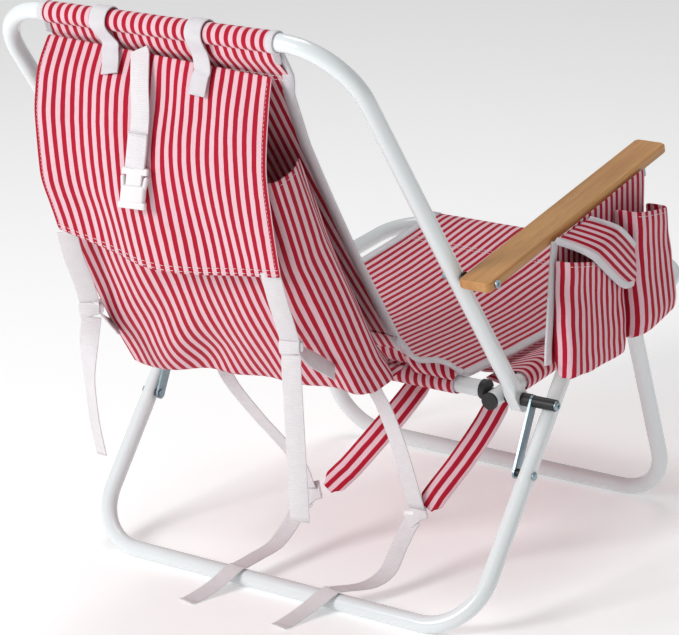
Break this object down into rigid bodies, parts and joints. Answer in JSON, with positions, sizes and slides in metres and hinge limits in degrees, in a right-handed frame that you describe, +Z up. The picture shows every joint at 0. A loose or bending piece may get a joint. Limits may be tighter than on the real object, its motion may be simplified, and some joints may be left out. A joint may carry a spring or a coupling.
{
  "type": "folding camp chair",
  "caption": "Low folding beach chair: white bent steel tube frame, striped fabric seat and back slings, wooden armrests on notched racks, rear storage pouch, backpack straps and armrest pouches",
  "frame": {"origin": "middle of the footprint of the whole chair as it stands open, on the ground", "axes": "+Z up; the sitter faces -Y; X runs across the chair, the side pouches on the -X side"},
  "size_m": [0.6948, 0.8748, 0.798],
  "materials": {
    "white_tube": "glossy white powder coat on steel tube",
    "zinc": "zinc plated steel",
    "black_plastic": "moulded black plastic",
    "wood": "clear lacquered hardwood",
    "stripe_cloth": "woven polyester canvas, red and white stripes, white bound edges",
    "white_webbing": "white woven webbing",
    "white_plastic": "moulded white plastic"
  },
  "bodies": {
    "seat": {"seat_frame": "white_tube", "seat_rear_rail": "white_tube", "rail_saddles": "black_plastic", "seat_end_caps": "black_plastic", "pivot_spacers": "black_plastic", "leg_pivot_spacers": "black_plastic", "leg_pivot_rivets": "zinc", "seat_sling": "stripe_cloth", "seat_side_sleeves": "stripe_cloth", "shoulder_strap_left": "stripe_cloth", "shoulder_strap_right": "stripe_cloth", "strap_webbing_left": "white_webbing", "strap_webbing_right": "white_webbing", "strap_sliders": "white_plastic", "strap_tail_left": "white_webbing", "strap_tail_right": "white_webbing"},
    "pivot_bolts": {"pivot_bolts": "zinc", "pivot_washers": "black_plastic", "stop_rollers": "black_plastic"},
    "back": {"back_frame": "white_tube", "arm_washers": "black_plastic", "back_sling": "stripe_cloth", "storage_pouch": "stripe_cloth", "pouch_flap": "stripe_cloth", "flap_strap": "white_webbing", "flap_buckle": "white_plastic", "rail_loops": "white_webbing", "closure_webbing": "white_webbing", "closure_sliders": "white_plastic", "closure_tail_left": "white_webbing", "closure_tail_right": "white_webbing"},
    "arm_pins": {"arm_screws": "zinc"},
    "armrests": {"armrest_right": "wood", "armrest_left": "wood", "notched_racks": "zinc", "side_pouch_panel": "stripe_cloth", "small_side_pouch": "stripe_cloth", "large_side_pouch": "stripe_cloth"},
    "pocket_flap": {"side_pouch_flap": "stripe_cloth"},
    "links": {"links": "zinc", "link_end_rivets": "zinc", "link_washers": "black_plastic"},
    "front_legs": {"front_leg_frame": "white_tube", "front_leg_plugs": "black_plastic", "apex_pins": "zinc"},
    "rear_legs": {"rear_leg_frame": "white_tube", "rear_leg_plugs": "black_plastic", "apex_heads": "zinc", "link_leg_rivets": "zinc"}
  },
  "joints": [
    {"name": "back_fold", "type": "hinge", "parent": "seat", "child": "pivot_bolts", "pos_m": [0.02155, 0.06043, 0.261], "axis": [1, 0, 0], "range_deg": [0, 112], "deforming": ["shoulder_strap_left", "shoulder_strap_right", "strap_webbing_left", "strap_webbing_right", "strap_sliders", "strap_tail_left", "strap_tail_right"]},
    {"name": "back_recline", "type": "hinge", "parent": "pivot_bolts", "child": "back", "pos_m": [0.02155, 0.06043, 0.261], "axis": [-1, 0, 0], "range_deg": [0, 18]},
    {"name": "arm_fold", "type": "hinge", "parent": "back", "child": "arm_pins", "pos_m": [0.02155, 0.1924, 0.45665], "axis": [-1, 0, 0], "range_deg": [0, 114]},
    {"name": "arm_recline", "type": "hinge", "parent": "arm_pins", "child": "armrests", "pos_m": [0.02155, 0.1924, 0.45665], "axis": [1, 0, 0], "range_deg": [0, 12.5]},
    {"name": "pocket_flap_lift", "type": "hinge", "parent": "armrests", "child": "pocket_flap", "pos_m": [-0.33895, 0.03043, 0.4815], "axis": [0, 0.9885, -0.151], "range_deg": [0, 110]},
    {"name": "front_leg_fold", "type": "hinge", "parent": "seat", "child": "front_legs", "pos_m": [0.02155, -0.20652, 0.28295], "axis": [1, 0, 0], "range_deg": [0, 96.5]},
    {"name": "link_fold", "type": "hinge", "parent": "seat", "child": "links", "pos_m": [0.02155, 0.06043, 0.261], "axis": [-1, 0, 0], "range_deg": [0, 112]},
    {"name": "rear_leg_fold", "type": "hinge", "parent": "links", "child": "rear_legs", "pos_m": [0.02155, 0.10164, 0.17895], "axis": [1, 0, 0], "range_deg": [0, 151.5]}
  ],
  "couplings": [
    {"joint": "arm_fold", "follows": "back_fold", "ratio": 1.016},
    {"joint": "arm_recline", "follows": "back_recline", "ratio": 0.691},
    {"joint": "front_leg_fold", "follows": "back_fold", "ratio": 0.857},
    {"joint": "link_fold", "follows": "back_fold", "ratio": 0.992},
    {"joint": "rear_leg_fold", "follows": "back_fold", "ratio": 1.347}
  ]
}
